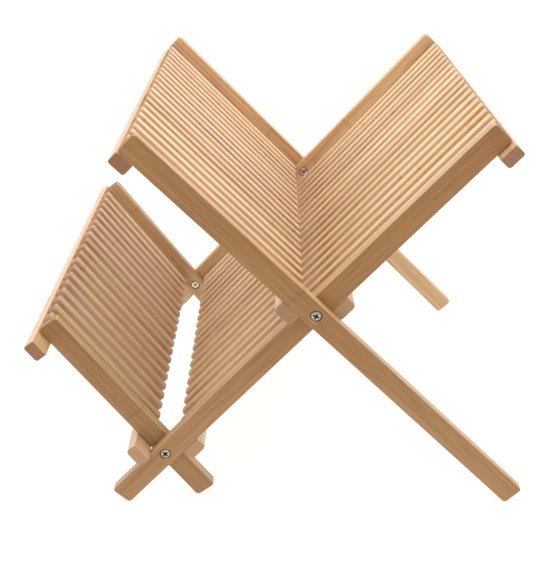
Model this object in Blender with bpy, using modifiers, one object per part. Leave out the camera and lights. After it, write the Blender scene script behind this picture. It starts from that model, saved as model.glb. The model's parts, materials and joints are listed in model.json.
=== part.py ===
"""Folding bamboo dish drying rack: three slatted panels hinged on four screws, built as separate pieces.

Metres, +Z up, X along the rack, Y across it, floor at z = 0. Every panel is laid out flat in its own plan:
"along" its rails from its pivot, "across" the rack, and "rise" square to the rails, positive on the plate side.
The slats fill the low half of the rails and the bars run underneath, so the panels fold into each other.
"""
import math

import bmesh
import bpy
from mathutils import Matrix, Vector

MM = 0.001
GAP = 0.3 * MM                    # room left between pieces that touch

# Driving sizes of the rack
RACK_WIDTH = 350 * MM             # over the outer rails
RAIL_HIGH = 18 * MM
RAIL_THICK = 8 * MM
FOOT_LENGTH = 56 * MM             # lower pivot to the end of the middle panel's foot
PIVOT_SPAN = 173 * MM             # lower pivot to upper pivot
LONG_ARM = 186 * MM               # upper pivot to the top of the two long panels
SHORT_ARM = 141 * MM              # lower pivot to the top of the short panel
LONG_TILT = math.radians(46.2)
SHORT_TILT = math.radians(54)
CORNER_RADIUS = 3 * MM
RAIL_EDGE = 0.7 * MM

# Slats: all three panels share a pitch, so each panel's slats face the next one's gaps
SLAT_PITCH = 15.4 * MM
SLAT_WIDE = 7.5 * MM
SLAT_HIGH = 8 * MM
SLAT_EDGE = 0.9 * MM
OUTER_SLATS = 21
MIDDLE_SLATS = 20
SHORT_SLATS = 19
OUTER_SLAT_START = 9.6 * MM       # above the upper pivot
MIDDLE_SLAT_START = 12 * MM       # above the lower pivot
SHORT_SLAT_START = 11 * MM

# Bars under the slats
BAR_DEEP = 10 * MM
TOP_BAR_WIDE = 15 * MM
LOW_BAR_WIDE = 17 * MM
TOP_BAR_EDGE = 1.5 * MM
LOW_BAR_EDGE = 2.5 * MM
MIDDLE_UPPER_BAR_START = 8.5 * MM     # above the upper pivot
MIDDLE_LOWER_BAR_START = 11 * MM      # above the lower pivot
GLUE_OVERLAP = 0.5 * MM

# Pivot screws and the barrel nuts they turn into
HEAD_RADIUS = 4 * MM
RECESS_RADIUS = 4.9 * MM
HEAD_THICK = 1.8 * MM
SHANK_RADIUS = 1.6 * MM
NUT_HEAD_THICK = 1.4 * MM
SLEEVE_RADIUS = 3 * MM
BORE_RADIUS = 1.9 * MM
THREAD_START = 2 * MM
DRIVE_LENGTH = 4.6 * MM
DRIVE_WIDE = 1.1 * MM
DRIVE_DEEP = 1.1 * MM
ROUND_SIDES = 32
CUT_MARGIN = 1 * MM

# Worked out from the driving sizes
PLANE_STEP = RAIL_THICK + GAP
OUTER_FACE = RACK_WIDTH / 2
MIDDLE_FACE = OUTER_FACE - PLANE_STEP
SHORT_FACE = MIDDLE_FACE - PLANE_STEP
RAIL_LOW = -RAIL_HIGH / 2
BAR_TOP = RAIL_LOW - GAP
BAR_LOW = BAR_TOP - BAR_DEEP
STACK_DEEP = PLANE_STEP + RAIL_THICK


def corner_reach(along, square, radius, angle):
    """How far a rounded corner reaches, with its length at an angle to the direction measured."""
    return (along - radius) * math.cos(angle) + (square - radius) * math.sin(angle) + radius


def reach_below_pivot(foot, tilt):
    """How far a rail's foot reaches below its pivot."""
    return corner_reach(foot, RAIL_HIGH / 2, CORNER_RADIUS, math.pi / 2 - tilt)


def stop_bar_start(tilt):
    """Where a bar starts above its pivot to rest on the middle rails' top edges in the open rack."""
    opening = tilt + LONG_TILT
    seat = RAIL_HIGH / 2 + GAP
    return (seat - BAR_TOP * math.cos(opening)) / math.sin(opening)


PIVOT_HEIGHT = reach_below_pivot(FOOT_LENGTH, LONG_TILT)
SHORT_FOOT = (PIVOT_HEIGHT - reach_below_pivot(0, SHORT_TILT)) / math.sin(SHORT_TILT)     # reaches the floor too
SPAN_X = PIVOT_SPAN * math.cos(LONG_TILT)
SPAN_Z = PIVOT_SPAN * math.sin(LONG_TILT)
LEFT_REACH = corner_reach(SHORT_ARM, -BAR_LOW, TOP_BAR_EDGE, SHORT_TILT)
RIGHT_REACH = SPAN_X + corner_reach(PIVOT_SPAN + FOOT_LENGTH, RAIL_HIGH / 2, CORNER_RADIUS, LONG_TILT)
# The origin is on the floor below the middle of the rack's box
LOWER_PIVOT = Vector(((LEFT_REACH - RIGHT_REACH) / 2, 0, PIVOT_HEIGHT))
UPPER_PIVOT = LOWER_PIVOT + Vector((SPAN_X, 0, SPAN_Z))


def clear_scene():
    for item in list(bpy.data.objects):
        bpy.data.objects.remove(item, do_unlink=True)


def make_collection(name):
    collection = bpy.data.collections.new(name)
    bpy.context.scene.collection.children.link(collection)
    return collection


def make_material(name, colour, roughness, metallic=0.0):
    material = bpy.data.materials.new(name)
    material.use_nodes = True
    shader = material.node_tree.nodes["Principled BSDF"]
    shader.inputs["Base Color"].default_value = (*colour, 1)
    shader.inputs["Roughness"].default_value = roughness
    shader.inputs["Metallic"].default_value = metallic
    return material


def make_mesh(name, shape):
    mesh = bpy.data.meshes.new(name)
    shape.to_mesh(mesh)
    shape.free()
    return mesh


def add_box(shape, low, high):
    """Adds one box to a shape, between two corners."""
    made = bmesh.ops.create_cube(shape, size=1)["verts"]
    bmesh.ops.scale(shape, vec=Vector(high) - Vector(low), verts=made)
    bmesh.ops.translate(shape, vec=(Vector(high) + Vector(low)) / 2, verts=made)


def box_mesh(name, boxes):
    shape = bmesh.new()
    for low, high in boxes:
        add_box(shape, low, high)
    return make_mesh(name, shape)


def profile_mesh(name, profile):
    """A line of (radius, height) points that starts and ends on the axis and runs down its outer side."""
    shape = bmesh.new()
    points = [shape.verts.new((radius, 0, height)) for radius, height in profile]
    for pair in zip(points, points[1:]):
        shape.edges.new(pair)
    return make_mesh(name, shape)


def turn(item):
    """Turns an object's profile round its own Z."""
    screw = item.modifiers.new("turn", "SCREW")
    screw.axis = "Z"
    screw.steps = ROUND_SIDES
    screw.render_steps = ROUND_SIDES
    screw.use_merge_vertices = True
    screw.merge_threshold = 0.05 * MM


def round_rail_corners(mesh):
    """Rounds the four corners of a rail's outline."""
    shape = bmesh.new()
    shape.from_mesh(mesh)
    corners = [edge for edge in shape.edges if runs_across(edge)]
    bmesh.ops.bevel(
        shape, geom=corners, offset=CORNER_RADIUS, affect="EDGES", segments=4, profile=0.5, material=-1
    )
    shape.to_mesh(mesh)
    shape.free()


def runs_across(edge):
    run = edge.verts[1].co - edge.verts[0].co
    return abs(run.y) > 0.9 * run.length


def soften(item, width, segments):
    bevel = item.modifiers.new("edges", "BEVEL")
    bevel.width = width
    bevel.segments = segments
    bevel.limit_method = "ANGLE"
    bevel.angle_limit = math.radians(40)


def use_boolean(item, other, operation):
    boolean = item.modifiers.new(operation.lower(), "BOOLEAN")
    boolean.operation = operation
    boolean.solver = "EXACT"
    boolean.object = other


def link_piece(name, mesh, material):
    item = bpy.data.objects.new(name, mesh)
    mesh.materials.append(material)
    rack.objects.link(item)
    return item


def link_cutter(name, mesh, place):
    item = bpy.data.objects.new(name, mesh)
    item.matrix_world = place
    item.display_type = "WIRE"
    item.hide_render = True
    cutters.objects.link(item)
    return item


class Panel:
    """One slatted panel, laid out from an empty on its pivot whose X runs along the rails."""

    def __init__(self, name, pivot, tilt, leans_left, face):
        self.name = name
        self.face = face
        self.rise_sign = -1 if leans_left else 1
        self.empty = bpy.data.objects.new(name + "_panel", None)
        self.empty.location = pivot
        self.empty.rotation_euler.y = tilt - math.pi if leans_left else -tilt
        rack.objects.link(self.empty)

    def corners(self, along, across, rise):
        """A box's two corners in the empty's own axes."""
        low_rise, high_rise = sorted(self.rise_sign * value for value in rise)
        return (along[0], across[0], low_rise), (along[1], across[1], high_rise)

    def add(self, name, boxes, material):
        item = link_piece(name, box_mesh(name, [self.corners(*box) for box in boxes]), material)
        item.parent = self.empty
        return item

    def matrix(self):
        return Matrix.LocRotScale(self.empty.location, self.empty.rotation_euler, None)


def slat_box(number, count, start, end, low=RAIL_LOW):
    """One slat's spans, counted from the front of the rack."""
    middle = (number - (count - 1) / 2) * SLAT_PITCH
    across = (middle - SLAT_WIDE / 2, middle + SLAT_WIDE / 2)
    return (start, end), across, (low, RAIL_LOW + SLAT_HIGH)


def bar_box(start, wide, reach):
    return (start, start + wide), (-reach, reach), (BAR_LOW, BAR_TOP)


def add_rails(panel, start, end, holes, material):
    for side, side_name in SIDES:
        across = sorted((side * panel.face, side * (panel.face - RAIL_THICK)))
        name = "_".join((panel.name, side_name, "rail"))
        rail = panel.add(name, [((start, end), across, (RAIL_LOW, -RAIL_LOW))], material)
        round_rail_corners(rail.data)
        soften(rail, RAIL_EDGE, 2)
        for hole in holes:
            use_boolean(rail, bpy.data.objects["_".join((hole, side_name, "hole"))], "DIFFERENCE")


def add_slats(panel, count, start, end, material):
    for number in range(count):
        name = "{}_slat_{:02d}".format(panel.name, number + 1)
        slat = panel.add(name, [slat_box(number, count, start, end)], material)
        soften(slat, SLAT_EDGE, 1)


def add_bar(panel, name, start, wide, reach, edge, material):
    bar = panel.add(name, [bar_box(start, wide, reach)], material)
    soften(bar, edge, 2)


def add_slat_grid(panel, start, end, bars, material):
    """The middle panel's slats, glued down into their three bars as one piece."""
    grid = panel.add(panel.name + "_slat_grid", [bar_box(*bar) for bar in bars], material)
    soften(grid, TOP_BAR_EDGE, 2)
    glued_low = BAR_TOP - GLUE_OVERLAP
    slats = [panel.corners(*slat_box(n, MIDDLE_SLATS, start, end, glued_low)) for n in range(MIDDLE_SLATS)]
    glued = link_cutter("glued_slats", box_mesh("glued_slats", slats), panel.matrix())
    soften(glued, SLAT_EDGE, 1)
    use_boolean(grid, glued, "UNION")


def pivot_place(pivot, side, face):
    """A frame on a pivot's axis, its origin on the outermost rail's face and its Z pointing out of the rack."""
    return Matrix.Translation(pivot + Vector((0, side * face, 0))) @ Matrix.Rotation(-side * math.pi / 2, 4, "X")


def add_hole(name, place):
    """The stepped hole through a pivot's two rails."""
    head_floor = -(HEAD_THICK + 2 * GAP)
    nut_floor = NUT_HEAD_THICK + 2 * GAP - STACK_DEEP
    profile = (
        (0, CUT_MARGIN),
        (RECESS_RADIUS, CUT_MARGIN),
        (RECESS_RADIUS, head_floor),
        (SLEEVE_RADIUS + GAP, head_floor),
        (SLEEVE_RADIUS + GAP, nut_floor),
        (RECESS_RADIUS, nut_floor),
        (RECESS_RADIUS, -STACK_DEEP - CUT_MARGIN),
        (0, -STACK_DEEP - CUT_MARGIN),
    )
    turn(link_cutter(name, profile_mesh(name, profile), place))


def add_screw(name, place, panel, material):
    """A pan-head screw with a cross drive, its head just below the rail's face."""
    top = -GAP
    under_head = top - HEAD_THICK
    tip = NUT_HEAD_THICK + THREAD_START - STACK_DEEP
    profile = (
        (0, top),
        (HEAD_RADIUS * 0.7, top - HEAD_THICK * 0.1),
        (HEAD_RADIUS, top - HEAD_THICK * 0.5),
        (HEAD_RADIUS, under_head),
        (SHANK_RADIUS, under_head),
        (SHANK_RADIUS, tip),
        (0, tip),
    )
    screw = link_piece(name, profile_mesh(name, profile), material)
    turn(screw)
    hang(screw, panel, place)
    for slot, length, wide in (("drive_a", DRIVE_LENGTH, DRIVE_WIDE), ("drive_b", DRIVE_WIDE, DRIVE_LENGTH)):
        box = ((-length / 2, -wide / 2, top - DRIVE_DEEP), (length / 2, wide / 2, CUT_MARGIN))
        slot_name = name + "_" + slot
        use_boolean(screw, link_cutter(slot_name, box_mesh(slot_name, [box]), place), "DIFFERENCE")


def add_barrel_nut(name, place, panel, material):
    """A flat-headed sleeve through both rails from inside the rack, bored for the screw."""
    face = GAP - STACK_DEEP
    head_top = face + NUT_HEAD_THICK
    sleeve_end = -(HEAD_THICK + 2 * GAP)
    profile = (
        (0, head_top),
        (BORE_RADIUS, head_top),
        (BORE_RADIUS, sleeve_end),
        (SLEEVE_RADIUS, sleeve_end),
        (SLEEVE_RADIUS, head_top),
        (HEAD_RADIUS, head_top),
        (HEAD_RADIUS, face + NUT_HEAD_THICK * 0.35),
        (HEAD_RADIUS * 0.9, face),
        (0, face),
    )
    nut = link_piece(name, profile_mesh(name, profile), material)
    turn(nut)
    hang(nut, panel, place)


def hang(item, panel, place):
    """Parents a piece to a panel's empty and leaves it where it is in the rack."""
    item.parent = panel.empty
    item.matrix_basis = panel.matrix().inverted() @ place


def add_fasteners(pivot_name, pivot, face, panel, material):
    for side, side_name in SIDES:
        place = pivot_place(pivot, side, face)
        base = pivot_name + "_" + side_name
        add_hole(base + "_hole", place)
        add_screw(base + "_screw", place, panel, material)
        add_barrel_nut(base + "_barrel_nut", place, panel, material)


def add_outer_panel(bamboo):
    panel = Panel("outer", UPPER_PIVOT, LONG_TILT, True, OUTER_FACE)
    add_rails(panel, -(PIVOT_SPAN + FOOT_LENGTH), LONG_ARM, ("upper",), bamboo["rail"])
    add_slats(panel, OUTER_SLATS, OUTER_SLAT_START, LONG_ARM, bamboo["slat"])
    add_bar(panel, "outer_stop_bar", stop_bar_start(LONG_TILT), LOW_BAR_WIDE, OUTER_FACE, LOW_BAR_EDGE, bamboo["bar"])
    top_start = LONG_ARM - TOP_BAR_WIDE
    add_bar(panel, "outer_top_bar", top_start, TOP_BAR_WIDE, OUTER_FACE, TOP_BAR_EDGE, bamboo["bar"])


def add_middle_panel(panel, bamboo):
    end = PIVOT_SPAN + LONG_ARM
    add_rails(panel, -FOOT_LENGTH, end, ("lower", "upper"), bamboo["rail"])
    bars = (
        (MIDDLE_LOWER_BAR_START, LOW_BAR_WIDE, MIDDLE_FACE),
        (PIVOT_SPAN + MIDDLE_UPPER_BAR_START, LOW_BAR_WIDE, MIDDLE_FACE),
        (end - TOP_BAR_WIDE, TOP_BAR_WIDE, OUTER_FACE),
    )
    add_slat_grid(panel, MIDDLE_SLAT_START, end, bars, bamboo["slat"])


def add_short_panel(bamboo):
    panel = Panel("short", LOWER_PIVOT, SHORT_TILT, True, SHORT_FACE)
    add_rails(panel, -SHORT_FOOT, SHORT_ARM, ("lower",), bamboo["rail"])
    add_slats(panel, SHORT_SLATS, SHORT_SLAT_START, SHORT_ARM, bamboo["slat"])
    add_bar(panel, "short_stop_bar", stop_bar_start(SHORT_TILT), LOW_BAR_WIDE, OUTER_FACE, LOW_BAR_EDGE, bamboo["bar"])
    top_start = SHORT_ARM - TOP_BAR_WIDE
    add_bar(panel, "short_top_bar", top_start, TOP_BAR_WIDE, OUTER_FACE, TOP_BAR_EDGE, bamboo["bar"])


SIDES = ((-1, "front"), (1, "back"))

clear_scene()
rack = make_collection("dish_drying_rack")
cutters = make_collection("cutters")
bamboo_colours = {
    "rail": make_material("bamboo_rail", (0.45, 0.25, 0.11), 0.5),
    "slat": make_material("bamboo_slat", (0.68, 0.45, 0.26), 0.55),
    "bar": make_material("bamboo_bar", (0.55, 0.33, 0.17), 0.55),
}
steel = make_material("plated_steel", (0.62, 0.6, 0.57), 0.3, 1)

middle = Panel("middle", LOWER_PIVOT, LONG_TILT, False, MIDDLE_FACE)
add_fasteners("upper", UPPER_PIVOT, OUTER_FACE, middle, steel)
add_fasteners("lower", LOWER_PIVOT, MIDDLE_FACE, middle, steel)
add_outer_panel(bamboo_colours)
add_middle_panel(middle, bamboo_colours)
add_short_panel(bamboo_colours)
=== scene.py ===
import json
import math
import random

import bmesh
import bpy
from mathutils import Matrix, Vector


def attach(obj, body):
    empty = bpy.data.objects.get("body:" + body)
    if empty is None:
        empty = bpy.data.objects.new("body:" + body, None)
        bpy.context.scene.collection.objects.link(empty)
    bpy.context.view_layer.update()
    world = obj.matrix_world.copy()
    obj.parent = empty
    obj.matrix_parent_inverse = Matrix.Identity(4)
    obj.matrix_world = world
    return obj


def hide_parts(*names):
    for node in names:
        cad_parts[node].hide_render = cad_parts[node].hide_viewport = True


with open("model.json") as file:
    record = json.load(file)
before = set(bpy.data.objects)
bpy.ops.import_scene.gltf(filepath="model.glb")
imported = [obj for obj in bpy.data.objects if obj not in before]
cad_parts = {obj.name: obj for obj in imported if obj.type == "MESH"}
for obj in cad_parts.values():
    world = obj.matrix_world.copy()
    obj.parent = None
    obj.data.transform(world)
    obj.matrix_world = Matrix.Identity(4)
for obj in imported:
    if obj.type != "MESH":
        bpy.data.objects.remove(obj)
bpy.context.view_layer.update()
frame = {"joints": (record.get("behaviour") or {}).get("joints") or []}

MM = 0.001
GAP = 0.3 * MM

# Rails
RAIL_HIGH = 18 * MM
RAIL_THICK = 8 * MM
RAIL_LOW = -RAIL_HIGH / 2
RAIL_CORNER = 3 * MM
RAIL_EDGE = 0.8 * MM

# Panels, whose rails lie side by side
LONG_TILT = math.radians(46.2)
SHORT_TILT = math.radians(54)
OUTER_FACE = 175 * MM
MIDDLE_FACE = OUTER_FACE - RAIL_THICK - GAP
SHORT_FACE = MIDDLE_FACE - RAIL_THICK - GAP
FOOT_LENGTH = 56 * MM
PIVOT_SPAN = 173 * MM
LONG_ARM = 186 * MM
SHORT_ARM = 141 * MM
SHORT_FOOT = 51.05 * MM

# Slats
OUTER_SLATS = 21
MIDDLE_SLATS = 20
SHORT_SLATS = 19
OUTER_SLAT_START = 9.6 * MM
MIDDLE_SLAT_START = 12 * MM
SHORT_SLAT_START = 11 * MM
SLAT_PITCH = 15.4 * MM
SLAT_WIDE = 7.5 * MM
SLAT_HIGH = 8 * MM
SLAT_EDGE = 1 * MM
SLAT_NOSE = 1.9 * MM
NOSE_RINGS = 4

# Bars
BAR_TOP = RAIL_LOW - GAP
BAR_DEEP = 10 * MM
TOP_BAR_WIDE = 15 * MM
LOW_BAR_WIDE = 17 * MM
BAR_EDGE = 0.8 * MM
TOP_BAR_CORNER = 2.4 * MM
LOW_BAR_CORNER = 4.2 * MM
HINGE_SIDE_CORNER = 2.2 * MM
OUTER_STOP_START = 8.92 * MM
SHORT_STOP_START = 7.78 * MM
UPPER_BAR_START = 7.2 * MM
LOWER_BAR_START = 11 * MM

# Roundings
EDGE_STEPS = 3
CORNER_STEPS = 6

# Hinge hardware
HEAD_RADIUS = 4 * MM
HEAD_FLAT = 0.62 * HEAD_RADIUS
RECESS_RADIUS = 4.9 * MM
HEAD_THICK = 1.8 * MM
DOME_DEEP = 0.55 * HEAD_THICK
DOME_STEPS = 6
DRIVE_LENGTH = 7.2 * MM
DRIVE_WIDE = 1.5 * MM
DRIVE_DEEP = 1.35 * MM
DRIVE_TAPER = (0.45, 0.75, 1)
DRIVE_REACH = 2.4 * MM
PIT_RADIUS = 1.35 * MM
PIT_FLOOR_RADIUS = 0.5 * MM
PIT_DEEP = 1.5 * MM
SHANK_RADIUS = 1.6 * MM
NUT_HEAD_THICK = 1.4 * MM
DIMPLE_RADIUS = 1.9 * MM
DIMPLE_DEEP = 0.7 * MM
# How much painted shade a nut's dimple takes
DIMPLE_SHADE = 0.55
SLEEVE_RADIUS = 3 * MM
BORE_RADIUS = 1.9 * MM
THREAD_START = 2 * MM
STACK_DEEP = 2 * RAIL_THICK + GAP
HOLE_BREAK = 0.35 * MM
TURN_STEPS = 48

lots = random.Random(11)


# ------------------------------------------------------------------ finishes

class Wire:
    """A socket in a finish. Arithmetic on it adds the Math nodes."""

    def __init__(self, finish, socket):
        self.finish = finish
        self.socket = socket

    def math(self, operation, *values):
        feeds = dict(enumerate(values))
        return self.finish.add("ShaderNodeMath", {"operation": operation}, feeds).out(0)

    def __add__(self, other):
        return self.math("ADD", self, other)

    def __sub__(self, other):
        return self.math("SUBTRACT", self, other)

    def __rsub__(self, other):
        return self.math("SUBTRACT", other, self)

    def __mul__(self, other):
        return self.math("MULTIPLY", self, other)

    __radd__ = __add__
    __rmul__ = __mul__

    def size(self):
        return self.math("ABSOLUTE", self)

    def whole(self):
        return self.math("FLOOR", self)

    def between(self, low, high):
        """0 up to low, 1 from high, smooth between them."""
        settings = {"interpolation_type": "SMOOTHSTEP"}
        feeds = {"Value": self, "From Min": low, "From Max": high}
        return self.finish.add("ShaderNodeMapRange", settings, feeds).out("Result")


class Outlet:
    """A node in a finish, for its outputs."""

    def __init__(self, finish, node):
        self.finish = finish
        self.node = node

    def out(self, name):
        return Wire(self.finish, self.node.outputs[name])


class Finish:
    """A material and the nodes that make it."""

    def __init__(self, name):
        self.material = bpy.data.materials.new(name)
        self.material.use_nodes = True
        self.tree = self.material.node_tree
        self.surface = self.tree.nodes["Principled BSDF"]

    def feed(self, socket, value):
        if isinstance(value, Wire):
            self.tree.links.new(value.socket, socket)
        else:
            socket.default_value = value

    def add(self, kind, settings=None, feeds=None):
        node = self.tree.nodes.new(kind)
        for name, value in (settings or {}).items():
            setattr(node, name, value)
        for name, value in (feeds or {}).items():
            self.feed(node.inputs[name], value)
        return Outlet(self, node)

    def set(self, **values):
        for name, value in values.items():
            self.feed(self.surface.inputs[name.replace("_", " ")], value)

    def mark(self, name):
        """A number that the piece's mesh carries."""
        return self.add("ShaderNodeAttribute", {"attribute_name": name}).out("Fac")

    def vector(self, operation, first, second):
        feeds = {0: first, 1: second}
        return self.add("ShaderNodeVectorMath", {"operation": operation}, feeds).out(0)

    def mix(self, amount, first, second, blend="MIX"):
        """Two colours mixed. A Mix node takes them at inputs 6 and 7 and gives output 2."""
        settings = {"data_type": "RGBA", "blend_type": blend}
        return self.add("ShaderNodeMix", settings, {0: amount, 6: first, 7: second}).out(2)

    def stain(self, amount, ground, dye):
        """A colour darkened by a dye, which multiplies it. It also lays painted shade on a colour.
        """
        return self.mix(amount, ground, dye, "MULTIPLY")

    def noise(self, place, stretch, detail=2.0, roughness=0.5):
        stretched = self.vector("MULTIPLY", place, stretch)
        feeds = {"Vector": stretched, "Scale": 1.0, "Detail": detail, "Roughness": roughness}
        return self.add("ShaderNodeTexNoise", {}, feeds).out("Fac")

    def bump(self, height, depth):
        feeds = {"Height": height, "Distance": depth}
        self.set(Normal=self.add("ShaderNodeBump", {}, feeds).out("Normal"))


def colour(red, green, blue):
    return red, green, blue, 1.0


STRAW = colour(0.79, 0.565, 0.325)
ROSE = colour(0.77, 0.505, 0.32)
HONEY = colour(0.72, 0.45, 0.21)
# Paler sanded and planed wood, which is partly a painted highlight on the crown faces
SANDED_STRAW_HIGHLIGHT = colour(0.82, 0.65, 0.455)
SANDED_ROSE_HIGHLIGHT = colour(0.82, 0.625, 0.475)
PLANED_HIGHLIGHT = colour(0.86, 0.60, 0.35)
SKIN = colour(0.39, 0.178, 0.042)
# A darker colour that rails take towards the floor
LOW_TINT = colour(0.62, 0.40, 0.20)
CUT_PALE = colour(0.51, 0.30, 0.157)
CUT_DARK = colour(0.28, 0.122, 0.053)
# Painted shade in the recesses of the hinge hardware
RECESS_SHADE = colour(0.06, 0.045, 0.035)
SCREW_BRIGHT = colour(0.56, 0.50, 0.42)
SCREW_WORN = colour(0.34, 0.29, 0.23)
NUT_BRIGHT = colour(0.86, 0.80, 0.70)
NUT_WORN = colour(0.62, 0.55, 0.46)

# Dyes for the stains, and colours that darken wood as painted shade
# Painted shade, which darkens the short panel where the outer panel shades it
PAINTED_SHADE = colour(0.60, 0.565, 0.54)
# Painted shade in the V where two panels cross
PAINTED_V_SHADE = colour(0.70, 0.56, 0.42)
SMOKED = colour(0.62, 0.50, 0.38)
FIBRE = colour(0.50, 0.40, 0.30)
PORE = colour(0.55, 0.47, 0.40)

# How often a pattern changes in a metre, along the fibres and across them
DRIFT_RATE = (7, 45)
STREAK_RATE = (9, 480)
FIBRE_RATE = (26, 1300)
KNUCKLE_RATE = (0, 260)
PORE_RATE = 1500

# How much of each colour or dye a surface takes at most
HONEY_SHARE = 0.75
SKIN_SHARE = 0.9
# Rails darker towards the floor
LOW_TINT_SHARE = 0.3
# Paler crown faces: planed or sanded wood, and partly a painted highlight
PLANED_HIGHLIGHT_SHARE = 0.8
SANDED_HIGHLIGHT_SHARE = 0.62
DARK_PIECE_SHARE = 0.3
# Painted shade in a V
PAINTED_V_SHADE_SHARE = 0.34
STRIP_SHARE = 0.25
GLUE_LINE_SHARE = 0.3
RAIL_STREAK_SHARE = 0.62
SLAT_STREAK_SHARE = 0.42
FIBRE_SHARE = 0.5
KNUCKLE_SHARE = 0.24
PORE_SHARE = 0.5

# How far the patterns reach
KNUCKLE_HEART = 0.3 * MM
KNUCKLE_REACH = 2.4 * MM
KNUCKLE_WANDER = 3 * MM
# Painted shade in a V: full within the first distance of its middle, gone beyond the second
V_SHADE_HEART = 10 * MM
V_SHADE_REACH = 115 * MM
# Height below which rails darken towards the floor
LOW_TINT_HEIGHT = 200 * MM
STRIP_HIGH = 6 * MM
GRAIN_DEPTH = 0.14 * MM

# The looks of whole pieces
# Painted shade over the short panel, which lies under the outer panel
SHORT_PANEL_PAINTED_SHADE = 0.44
FRONT_RAIL_TONE = 0.5
RAIL_HUE = 0.3
BAR_HUE = 0.6

# Plated steel
DULL_RATE = 420
TURNING_RATE = (2600, 300, 2600)
TURNING_DEPTH = 0.02 * MM


def bamboo(name, panel, fibres_across=False, strip_high=0.0, painted_shade_depth=0.0, v_shade_place=None):
    """Bamboo with its fibres along a panel, or across it.

    strip_high is the height of a rail's glued strips, and gives it the look of a rail: its strips,
    darker towards the floor, and paler planed faces that are partly a painted highlight. deeper is
    how much painted shade darkens it, and hollow is how far along the panel the painted shade in a V
    lies deepest.
    """
    finish = Finish(name)
    back = panel.matrix.inverted()
    standing = finish.add("ShaderNodeTexCoord").out("Object")
    feeds = {
        "Vector": standing,
        "Location": back.to_translation(),
        "Rotation": back.to_euler(),
    }
    plan = finish.add("ShaderNodeMapping", {"vector_type": "POINT"}, feeds).out("Vector")
    axes = finish.add("ShaderNodeSeparateXYZ", {}, {"Vector": plan})
    tone = finish.mark("tone")
    hue = finish.mark("hue")
    strip = 0.0
    if strip_high:
        strips = axes.out("Z") * (1 / strip_high)
        strip = (strips + 0.5).whole()
    # Each piece, and each strip of a rail, starts somewhere else in the patterns
    feeds = {"X": hue * 3.1, "Y": tone * 1.7 + strip, "Z": hue * 0.9}
    place = finish.vector("ADD", plan, finish.add("ShaderNodeCombineXYZ", {}, feeds).out("Vector"))

    def stretch(slow, fine):
        return (fine, slow, fine) if fibres_across else (slow, fine, fine)

    drift = finish.noise(place, stretch(*DRIFT_RATE))
    streak = finish.noise(place, stretch(*STREAK_RATE), 3.0, 0.62)
    fibre = finish.noise(place, stretch(*FIBRE_RATE), 2.0, 0.6)
    run = axes.out("Y" if fibres_across else "X")
    wander = finish.noise(place, stretch(*KNUCKLE_RATE)) * KNUCKLE_WANDER
    off_knuckle = (run + wander - finish.mark("knuckle")).size()
    knuckle = 1 - off_knuckle.between(KNUCKLE_HEART, KNUCKLE_REACH)

    ground = finish.mix(hue.between(0.2, 0.8), STRAW, ROSE)
    ground = finish.mix(drift.between(0.3, 0.7) * HONEY_SHARE, ground, HONEY)
    ground = finish.mix(finish.mark("skin") * SKIN_SHARE, ground, SKIN)
    if strip_high:
        height = finish.add("ShaderNodeSeparateXYZ", {}, {"Vector": standing}).out("Z")
        # Darker towards the floor
        ground = finish.mix((1 - height.between(0.0, LOW_TINT_HEIGHT)) * LOW_TINT_SHARE, ground, LOW_TINT)
        # The rail's crown faces are paler: planed wood, and partly a painted highlight
        ground = finish.mix(finish.mark("crown_highlight") * PLANED_HIGHLIGHT_SHARE, ground, PLANED_HIGHLIGHT)
    else:
        # The crown faces are paler: sanded wood, and partly a painted highlight
        sanded_highlight = finish.mix(hue.between(0.25, 0.75), SANDED_STRAW_HIGHLIGHT, SANDED_ROSE_HIGHLIGHT)
        ground = finish.mix(finish.mark("crown_highlight") * SANDED_HIGHLIGHT_SHARE, ground, sanded_highlight)
    ground = finish.stain((1 - tone) * DARK_PIECE_SHARE, ground, SMOKED)
    # Painted shade: a panel that lies in another's shadow is darkened all over
    if painted_shade_depth:
        ground = finish.stain(painted_shade_depth, ground, PAINTED_SHADE)
    # Painted shade, deepest in the V at a hinge and fading along the panel
    if v_shade_place is not None:
        painted_v_shade = 1 - (run - v_shade_place).size().between(V_SHADE_HEART, V_SHADE_REACH)
        ground = finish.stain(painted_v_shade * PAINTED_V_SHADE_SHARE, ground, PAINTED_V_SHADE)
    if strip_high:
        feeds = {"W": strip + tone * 9}
        lot = finish.add("ShaderNodeTexWhiteNoise", {"noise_dimensions": "1D"}, feeds).out("Value")
        ground = finish.stain(lot * STRIP_SHARE, ground, SMOKED)
        glue_line = (strips - strip).size().between(0.46, 0.5)
        ground = finish.stain(glue_line * GLUE_LINE_SHARE, ground, FIBRE)
    streak_share = RAIL_STREAK_SHARE if strip_high else SLAT_STREAK_SHARE
    ground = finish.stain(streak.between(0.42, 0.72) * streak_share, ground, SMOKED)
    ground = finish.stain(fibre.between(0.48, 0.72) * FIBRE_SHARE, ground, FIBRE)
    ground = finish.stain(knuckle * KNUCKLE_SHARE, ground, FIBRE)

    cut = finish.mark("cut")
    pores = finish.noise(place, (PORE_RATE, PORE_RATE, PORE_RATE), 1.0).between(0.52, 0.7)
    end = finish.stain(pores * PORE_SHARE, finish.mix(tone, CUT_DARK, CUT_PALE), PORE)
    finish.set(Base_Color=finish.mix(cut, ground, end))
    finish.set(Roughness=0.44 + streak * 0.16 + cut * 0.2)
    finish.bump(streak * 0.5 + fibre * 0.35 + knuckle * 0.6 - pores * cut * 0.6, GRAIN_DEPTH)
    return finish.material


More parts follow.
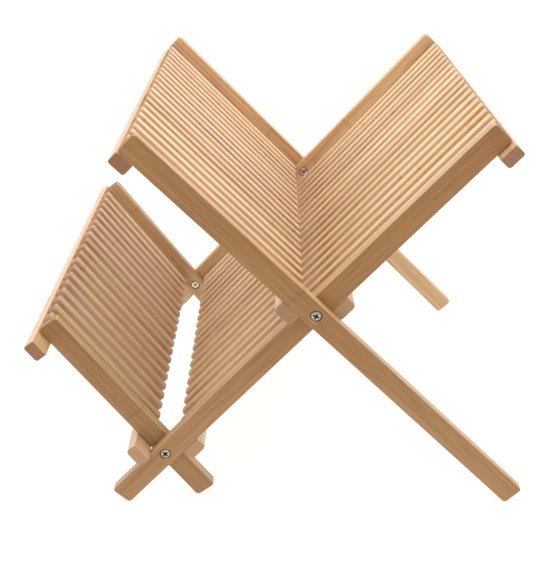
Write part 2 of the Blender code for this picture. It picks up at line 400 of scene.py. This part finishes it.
def steel(name, bright, worn):
    """Plated steel, faintly turned and dulled in patches, with painted shade where its mesh marks
    the recesses.
    """
    finish = Finish(name)
    place = finish.add("ShaderNodeTexCoord").out("Object")
    dull = finish.noise(place, (DULL_RATE, DULL_RATE, DULL_RATE), 3.0)
    turning = finish.noise(place, TURNING_RATE, 1.0)
    dark = finish.mark("dark")
    plating = finish.mix(dull.between(0.35, 0.7), bright, worn)
    finish.set(Metallic=1.0)
    # Painted shade in the cross drive and the nut's dimple
    finish.set(Base_Color=finish.mix(dark, plating, RECESS_SHADE))
    finish.set(Roughness=0.3 + dull * 0.2 + dark * 0.25)
    finish.bump(turning, TURNING_DEPTH)
    return finish.material


# ------------------------------------------------------------------ shapes

def block(low, high):
    """A box between two corners."""
    shape = bmesh.new()
    made = bmesh.ops.create_cube(shape, size=1)["verts"]
    low, high = Vector(low), Vector(high)
    bmesh.ops.scale(shape, vec=high - low, verts=made)
    bmesh.ops.translate(shape, vec=(high + low) / 2, verts=made)
    return shape


def runs(edge, axis):
    """True where an edge runs along an axis, 0 to 2."""
    run = edge.verts[1].co - edge.verts[0].co
    return abs(run[axis]) > 0.99 * run.length


def on_side(edge, axis, value):
    return all(abs(vert.co[axis] - value) < GAP / 10 for vert in edge.verts)


def round_over(shape, edges, radius, segments):
    bmesh.ops.bevel(
        shape, geom=edges, offset=radius, affect="EDGES", segments=segments, profile=0.5, material=-1
    )


def round_nose(shape, end):
    """Carries the face at one end of a slat out into a rounded nose, ring by ring."""
    face = max(shape.faces, key=lambda item: item.normal.x * end * item.calc_area())
    width, reached = 1.0, 0.0
    for step in range(1, NOSE_RINGS + 1):
        angle = step / NOSE_RINGS * math.pi / 2
        narrower = 1 - (1 - math.cos(angle)) * 2 * SLAT_NOSE / SLAT_WIDE
        reach = math.sin(angle) * SLAT_NOSE
        middle = face.calc_center_median()
        face = bmesh.ops.extrude_discrete_faces(shape, faces=[face])["faces"][0]
        ring = list(face.verts)
        shrink = (1, narrower / width, narrower / width)
        bmesh.ops.scale(shape, vec=shrink, space=Matrix.Translation(-middle), verts=ring)
        bmesh.ops.translate(shape, vec=(end * (reach - reached), 0, 0), verts=ring)
        width, reached = narrower, reach


def slat_shape(start, end, middle):
    """A slat with eased long edges and rounded ends."""
    low = (start + SLAT_NOSE, middle - SLAT_WIDE / 2, RAIL_LOW)
    high = (end - SLAT_NOSE, middle + SLAT_WIDE / 2, RAIL_LOW + SLAT_HIGH)
    shape = block(low, high)
    round_over(shape, [edge for edge in shape.edges if runs(edge, 0)], SLAT_EDGE, EDGE_STEPS)
    shape.normal_update()
    round_nose(shape, -1)
    round_nose(shape, 1)
    return shape


def rail_shape(start, end, inner, outer):
    """A rail with rounded corners and eased outlines."""
    low, high = sorted((inner, outer))
    shape = block((start, low, RAIL_LOW), (end, high, -RAIL_LOW))
    round_over(shape, [edge for edge in shape.edges if runs(edge, 1)], RAIL_CORNER, CORNER_STEPS)
    outlines = [edge for edge in shape.edges if on_side(edge, 1, low) or on_side(edge, 1, high)]
    round_over(shape, outlines, RAIL_EDGE, EDGE_STEPS)
    return shape


def bar_shape(start, wide, reach, corner):
    """A bar across the rack. Of its two bottom corners, the one nearer the hinge is rounded less."""
    bottom = BAR_TOP - BAR_DEEP
    shape = block((start, -reach, bottom), (start + wide, reach, BAR_TOP))

    def long_edges(height):
        """The edges across the rack at a height, the one nearest the hinge first."""
        edges = [edge for edge in shape.edges if runs(edge, 1) and on_side(edge, 2, height)]
        return sorted(edges, key=lambda edge: edge.verts[0].co.x)

    round_over(shape, long_edges(bottom)[:1], min(corner, HINGE_SIDE_CORNER), CORNER_STEPS)
    round_over(shape, long_edges(bottom)[-1:], corner, CORNER_STEPS)
    round_over(shape, long_edges(BAR_TOP), BAR_EDGE, EDGE_STEPS)
    outlines = [edge for edge in shape.edges if on_side(edge, 1, -reach) or on_side(edge, 1, reach)]
    round_over(shape, outlines, BAR_EDGE, EDGE_STEPS)
    return shape


def turned_shape(profile):
    """A shape turned round Z from (radius, height) points."""
    shape = bmesh.new()
    points = [shape.verts.new((radius, 0, height)) for radius, height in profile]
    edges = [shape.edges.new(pair) for pair in zip(points, points[1:])]
    bmesh.ops.spin(
        shape,
        geom=points + edges,
        cent=(0, 0, 0),
        axis=(0, 0, 1),
        angle=math.tau,
        steps=TURN_STEPS,
        use_merge=True,
    )
    bmesh.ops.remove_doubles(shape, verts=shape.verts, dist=0.005 * MM)
    bmesh.ops.recalc_face_normals(shape, faces=shape.faces)
    return shape


def drive_arms(top):
    """Two opposite arms of a cross drive, narrower and shorter at the bottom."""
    length, wide = DRIVE_LENGTH / 2, DRIVE_WIDE / 2
    shape = block((-length, -wide, top - DRIVE_DEEP), (length, wide, top + HEAD_THICK))
    low = [vert for vert in shape.verts if vert.co.z < top]
    bmesh.ops.scale(shape, vec=DRIVE_TAPER, verts=low)
    return shape


def stand_in(shape):
    """A shape as an object, for a cut."""
    mesh = bpy.data.meshes.new("cut")
    shape.to_mesh(mesh)
    shape.free()
    item = bpy.data.objects.new("cut", mesh)
    bpy.context.scene.collection.objects.link(item)
    return item


def cut_from(shape, tools):
    """A shape with each tool's shape cut out of it."""
    item = stand_in(shape)
    blades = [stand_in(tool) for tool in tools]
    for blade in blades:
        boolean = item.modifiers.new("cut", "BOOLEAN")
        boolean.operation = "DIFFERENCE"
        boolean.solver = "EXACT"
        boolean.object = blade
    seen = item.evaluated_get(bpy.context.evaluated_depsgraph_get())
    result = bmesh.new()
    result.from_mesh(seen.to_mesh())
    seen.to_mesh_clear()
    for used in [item] + blades:
        mesh = used.data
        bpy.data.objects.remove(used)
        bpy.data.meshes.remove(mesh)
    return result


# ------------------------------------------------------------------ panels and pieces

class Panel:
    """A slatted panel: the body it is, and where its own directions lie in the rack."""

    def __init__(self, name, joint, tilt, leans_left, face):
        self.name = name
        self.body = name + "_panel"
        self.face = face
        pivots = {item["name"]: Vector(item["pos_m"]) for item in frame["joints"]}
        lean = Matrix.Rotation(-tilt, 4, "Y")
        if leans_left:
            lean = Matrix.Rotation(tilt, 4, "Y") @ Matrix.Rotation(math.pi, 4, "Z")
        self.matrix = Matrix.Translation(pivots[joint]) @ lean
        # A panel that leans left is laid out from the back, so its Y runs the other way
        self.front = 1 if leans_left else -1


def mark_faces(shape, name, rule):
    layer = shape.faces.layers.float.new(name)
    for face in shape.faces:
        face[layer] = rule(face)


def mark_piece(shape, name, value):
    layer = shape.verts.layers.float.new(name)
    for vert in shape.verts:
        vert[layer] = value


def clamp(value):
    return min(1.0, max(0.0, value))


def add_piece(name, shape, panel, place, finish, node):
    """Puts a finished shape in the rack as a piece that rides on its panel."""
    mesh = bpy.data.meshes.new(name)
    shape.transform(place)
    shape.to_mesh(mesh)
    shape.free()
    mesh.materials.append(finish)
    piece = bpy.data.objects.new(name, mesh)
    bpy.context.scene.collection.objects.link(piece)
    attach(piece, panel.body)
    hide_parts(node)
    return piece


def add_bamboo(name, shape, panel, finish, node, tone, hue, grain, length, skin=0):
    """A bamboo piece. tone runs from 0, dark, to 1, pale, and hue from straw to rose.

    grain is the axis that its fibres run along, 0 or 1. A knuckle lies within length of the panel's
    start, and skin is the side, -1 or 1, that is the stem's outside.
    """
    shape.normal_update()
    for face in shape.faces:
        face.smooth = max(map(abs, face.normal)) < 0.9995
    mark_faces(shape, "cut", lambda face: clamp((abs(face.normal[grain]) - 0.55) * 3))
    # Crown faces, the tops of slats and rails and the sides of bars, take a paler colour that is
    # partly a painted highlight
    if grain:
        mark_faces(shape, "crown_highlight", lambda face: clamp(abs(face.normal.x) * 1.2))
    else:
        mark_faces(shape, "crown_highlight", lambda face: clamp(face.normal.z * 1.2))
    mark_faces(shape, "skin", lambda face: clamp(face.normal.y * skin * 2 - 0.9))
    mark_piece(shape, "tone", tone)
    mark_piece(shape, "hue", hue)
    mark_piece(shape, "knuckle", lots.uniform(-0.6, 1.0) * length)
    add_piece(name, shape, panel, panel.matrix, finish, node)


def add_slats(panel, count, start, end, finish, node=None):
    """A panel's slats, spread evenly over its width. node is theirs where they share one."""
    for number in range(count):
        own = "{}_slat_{:02d}".format(panel.name, number + 1)
        middle = -panel.front * (number - (count - 1) / 2) * SLAT_PITCH
        shape = slat_shape(start, end, middle)
        tone, hue = lots.random(), lots.random()
        add_bamboo("bamboo_" + own, shape, panel, finish, node or own, tone, hue, 0, end)


def add_rails(panel, start, end, holes, finish, back_tone):
    """A panel's front and back rails, drilled for their hinges."""
    sides = (("front", panel.front, FRONT_RAIL_TONE), ("back", -panel.front, back_tone))
    for side, sign, tone in sides:
        shape = rail_shape(start, end, sign * (panel.face - RAIL_THICK), sign * panel.face)
        drills = []
        for places in holes:
            drill = hole_shape()
            drill.transform(panel.matrix.inverted() @ places[side])
            drills.append(drill)
        own = "{}_{}_rail".format(panel.name, side)
        drilled = cut_from(shape, drills)
        add_bamboo("bamboo_" + own, drilled, panel, finish, own, tone, RAIL_HUE, 0, end, sign)


def add_bar(panel, name, start, wide, reach, corner, finish, tone, node=None):
    """One of a panel's bars. node is its own unless it shares one."""
    own = "{}_{}_bar".format(panel.name, name)
    shape = bar_shape(start, wide, reach, corner)
    add_bamboo("bamboo_" + own, shape, panel, finish, node or own, tone, BAR_HUE, 1, reach)


def add_wide_bar(panel, name, start, reach, finish, tone, node=None):
    """A bar by one of the hinges."""
    add_bar(panel, name, start, LOW_BAR_WIDE, reach, LOW_BAR_CORNER, finish, tone, node)


def add_top_bar(panel, end, finish, tone, node=None):
    """The bar under the upper ends of the slats, as long as the rack is wide."""
    start = end - TOP_BAR_WIDE
    add_bar(panel, "top", start, TOP_BAR_WIDE, OUTER_FACE, TOP_BAR_CORNER, finish, tone, node)


# ------------------------------------------------------------------ hinge hardware

def hinge_places(joint, face):
    """Front and back places on a hinge's axis, with Z pointing out of the hinge's outer rail."""
    pivot = next(Vector(item["pos_m"]) for item in frame["joints"] if item["name"] == joint)
    places = {}
    for side, sign in (("front", -1), ("back", 1)):
        outward = Matrix.Rotation(-sign * math.pi / 2, 4, "X")
        places[side] = Matrix.Translation(pivot + Vector((0, sign * face, 0))) @ outward
    return places


def hole_shape():
    """The stepped hole through two rails, with both mouths eased."""
    wide = RECESS_RADIUS
    head_floor = -(HEAD_THICK + 2 * GAP)
    nut_floor = NUT_HEAD_THICK + 2 * GAP - STACK_DEEP
    return turned_shape((
        (0, MM),
        (wide + HOLE_BREAK + MM, MM),
        (wide, -HOLE_BREAK),
        (wide, head_floor),
        (SLEEVE_RADIUS + GAP, head_floor),
        (SLEEVE_RADIUS + GAP, nut_floor),
        (wide, nut_floor),
        (wide, HOLE_BREAK - STACK_DEEP),
        (wide + HOLE_BREAK + MM, -STACK_DEEP - MM),
        (0, -STACK_DEEP - MM),
    ))


def screw_shape():
    """A pan-head screw with a cross drive."""
    top = -GAP
    under = top - HEAD_THICK
    tip = NUT_HEAD_THICK + THREAD_START - STACK_DEEP
    dome = []
    for step in range(DOME_STEPS + 1):
        angle = step / DOME_STEPS * math.pi / 2
        radius = HEAD_FLAT + (HEAD_RADIUS - HEAD_FLAT) * math.sin(angle)
        dome.append((radius, top - DOME_DEEP * (1 - math.cos(angle))))
    profile = [(0, top)] + dome + [
        (HEAD_RADIUS, under + 0.2 * MM),
        (HEAD_RADIUS - 0.2 * MM, under),
        (SHANK_RADIUS, under),
        (SHANK_RADIUS, tip),
        (0, tip),
    ]
    arms = [drive_arms(top) for _ in range(2)]
    arms[1].transform(Matrix.Rotation(math.pi / 2, 4, "Z"))
    pit = turned_shape((
        (0, top + MM),
        (PIT_RADIUS, top + MM),
        (PIT_RADIUS, top),
        (PIT_FLOOR_RADIUS, top + 0.2 * MM - PIT_DEEP),
        (0, top - PIT_DEEP),
    ))
    return cut_from(turned_shape(profile), arms + [pit])


def nut_shape():
    """A barrel nut: a head with an eased rim and a dimple, and a bored sleeve."""
    face = GAP - STACK_DEEP
    head_top = face + NUT_HEAD_THICK
    sleeve_end = -(HEAD_THICK + 2 * GAP)
    return turned_shape((
        (0, head_top),
        (BORE_RADIUS, head_top),
        (BORE_RADIUS, sleeve_end),
        (SLEEVE_RADIUS, sleeve_end),
        (SLEEVE_RADIUS, head_top),
        (HEAD_RADIUS - 0.15 * MM, head_top),
        (HEAD_RADIUS, head_top - 0.15 * MM),
        (HEAD_RADIUS, face + 0.5 * MM),
        (HEAD_RADIUS - 0.15 * MM, face + 0.2 * MM),
        (HEAD_RADIUS - 0.5 * MM, face),
        (DIMPLE_RADIUS, face),
        (DIMPLE_RADIUS - 0.3 * MM, face + DIMPLE_DEEP - 0.1 * MM),
        (0, face + DIMPLE_DEEP),
    ))


def recess_shading(face):
    """Painted shade: 1 on the walls of a screw's cross drive, less in the dimple of a nut's head, 0
    elsewhere.
    """
    middle = face.calc_center_median()
    from_axis = middle.xy.length
    in_head = -GAP - HEAD_THICK < middle.z < -GAP - 0.25 * MM
    if in_head and from_axis < DRIVE_REACH:
        return 1.0
    in_face = middle.z < GAP - STACK_DEEP + DIMPLE_DEEP + 0.05 * MM
    return DIMPLE_SHADE if in_face and from_axis < DIMPLE_RADIUS - 0.05 * MM else 0.0


def add_metal(name, shape, panel, place, finish, turn):
    """A screw or a nut, which has a node of its own."""
    # Marks the painted shade in the drive and the dimple
    mark_faces(shape, "dark", recess_shading)
    turned = place @ Matrix.Rotation(turn, 4, "Z")
    piece = add_piece("steel_" + name, shape, panel, turned, finish, name)
    piece.data.shade_smooth()
    piece.data.set_sharp_from_angle(angle=math.radians(38))


def add_hinge(end, places, panel):
    """The screws and nuts of one hinge, front and back."""
    for side, place in places.items():
        own = "{}_{}_".format(end, side)
        turn = lots.uniform(0, math.pi)
        add_metal(own + "screw", screw_shape(), panel, place, screw_steel, turn)
        add_metal(own + "barrel_nut", nut_shape(), panel, place, nut_steel, turn)


# ------------------------------------------------------------------ the rack

def panel_finishes(panel, painted_shade_depth=0.0, v_shade_place=None):
    """The bamboo of a panel's rails, slats and bars."""
    # The rails take half as much painted shade as the slats
    rail = bamboo(panel.name + "_rail_bamboo", panel, strip_high=STRIP_HIGH, painted_shade_depth=painted_shade_depth / 2)
    slat = bamboo(panel.name + "_slat_bamboo", panel, painted_shade_depth=painted_shade_depth, v_shade_place=v_shade_place)
    bar = bamboo(panel.name + "_bar_bamboo", panel, fibres_across=True)
    return rail, slat, bar


def add_outer_panel(panel):
    rail, slat, bar = panel_finishes(panel)
    start = -(PIVOT_SPAN + FOOT_LENGTH)
    add_rails(panel, start, LONG_ARM, [upper_hinge], rail, back_tone=0.75)
    add_slats(panel, OUTER_SLATS, OUTER_SLAT_START, LONG_ARM, slat)
    add_wide_bar(panel, "stop", OUTER_STOP_START, OUTER_FACE, bar, tone=0.5)
    add_top_bar(panel, LONG_ARM, bar, tone=0.1)


def add_middle_panel(panel):
    # Painted shade in the V at the upper hinge, where the outer panel crosses this one
    rail, slat, bar = panel_finishes(panel, v_shade_place=PIVOT_SPAN)
    top = PIVOT_SPAN + LONG_ARM
    grid = "middle_slat_grid"
    add_rails(panel, -FOOT_LENGTH, top, [upper_hinge, lower_hinge], rail, back_tone=1.0)
    add_slats(panel, MIDDLE_SLATS, MIDDLE_SLAT_START, top, slat, grid)
    add_wide_bar(panel, "low", LOWER_BAR_START, MIDDLE_FACE, bar, 0.9, grid)
    add_wide_bar(panel, "upper", PIVOT_SPAN + UPPER_BAR_START, MIDDLE_FACE, bar, 0.8, grid)
    add_top_bar(panel, top, bar, 0.3, grid)


def add_short_panel(panel):
    # Painted shade: this panel lies under the outer panel
    rail, slat, bar = panel_finishes(panel, painted_shade_depth=SHORT_PANEL_PAINTED_SHADE)
    add_rails(panel, -SHORT_FOOT, SHORT_ARM, [lower_hinge], rail, back_tone=0.0)
    add_slats(panel, SHORT_SLATS, SHORT_SLAT_START, SHORT_ARM, slat)
    add_wide_bar(panel, "stop", SHORT_STOP_START, OUTER_FACE, bar, tone=0.9)
    add_top_bar(panel, SHORT_ARM, bar, tone=0.25)


outer = Panel("outer", "outer_panel_hinge", LONG_TILT, True, OUTER_FACE)
middle = Panel("middle", "short_panel_hinge", LONG_TILT, False, MIDDLE_FACE)
short = Panel("short", "short_panel_hinge", SHORT_TILT, True, SHORT_FACE)
upper_hinge = hinge_places("outer_panel_hinge", OUTER_FACE)
lower_hinge = hinge_places("short_panel_hinge", MIDDLE_FACE)
screw_steel = steel("screw_steel", SCREW_BRIGHT, SCREW_WORN)
nut_steel = steel("nut_steel", NUT_BRIGHT, NUT_WORN)

add_outer_panel(outer)
add_middle_panel(middle)
add_short_panel(short)
add_hinge("upper", upper_hinge, middle)
add_hinge("lower", lower_hinge, middle)


# ------------------------------------------------------------------ floor, light and camera

FLOOR_RADIUS = 6
FLOOR_DROP = 0.05 * MM
FLOOR_GREY = 0.28
FLOOR_GLOW = 0.78
SKY_STRENGTH = 0.86
CAMERA_PLACE = (2.2 * MM, -796.6 * MM, 488.8 * MM)
CAMERA_DOWN = math.radians(25.0)
CAMERA_YAW = math.radians(0.35)
CAMERA_ROLL = math.radians(-1.12)
CAMERA_LENS = 60.85
SENSOR_WIDTH = 36


def add_floor():
    """A pale floor that glows a little, so that it stays even under the rack."""
    shape = bmesh.new()
    bmesh.ops.create_circle(shape, cap_ends=True, segments=96, radius=FLOOR_RADIUS)
    mesh = bpy.data.meshes.new("floor")
    shape.to_mesh(mesh)
    shape.free()
    floor = bpy.data.objects.new("floor", mesh)
    floor.location.z = -FLOOR_DROP
    bpy.context.scene.collection.objects.link(floor)
    finish = Finish("pale_floor")
    finish.set(Base_Color=colour(FLOOR_GREY, FLOOR_GREY, FLOOR_GREY), Roughness=0.95)
    finish.set(Emission_Color=colour(1, 1, 1), Emission_Strength=FLOOR_GLOW)
    mesh.materials.append(finish.material)


def add_softbox(name, place, aim, size, power):
    light = bpy.data.lights.new(name, "AREA")
    light.shape = "DISK"
    light.size = size
    light.energy = power
    item = bpy.data.objects.new(name, light)
    item.location = place
    item.rotation_euler = (Vector(aim) - Vector(place)).to_track_quat("-Z", "Y").to_euler()
    bpy.context.scene.collection.objects.link(item)


def add_camera():
    camera = bpy.data.cameras.new("camera")
    camera.lens = CAMERA_LENS
    camera.sensor_width = SENSOR_WIDTH
    item = bpy.data.objects.new("camera", camera)
    pitch = Matrix.Rotation(math.pi / 2 - CAMERA_DOWN, 4, "X")
    roll = Matrix.Rotation(CAMERA_ROLL, 4, "Z")
    yaw = Matrix.Rotation(CAMERA_YAW, 4, "Z")
    item.matrix_world = Matrix.Translation(CAMERA_PLACE) @ yaw @ pitch @ roll
    bpy.context.scene.collection.objects.link(item)
    bpy.context.scene.camera = item


def add_sky():
    world = bpy.data.worlds.new("studio")
    world.use_nodes = True
    background = world.node_tree.nodes["Background"]
    background.inputs["Color"].default_value = colour(1, 1, 1)
    background.inputs["Strength"].default_value = SKY_STRENGTH
    bpy.context.scene.world = world


add_floor()
add_sky()
add_softbox("overhead", (0.12, 0.15, 1.5), (0, 0, 0.15), size=1.2, power=12)
add_softbox("left_rear", (-1.5, 1.0, 0.8), (0, 0, 0.2), size=0.9, power=7)
add_softbox("right_rear", (1.5, 1.0, 0.8), (0, 0, 0.2), size=0.9, power=7)
add_camera()
bpy.context.scene.view_settings.view_transform = "Standard"
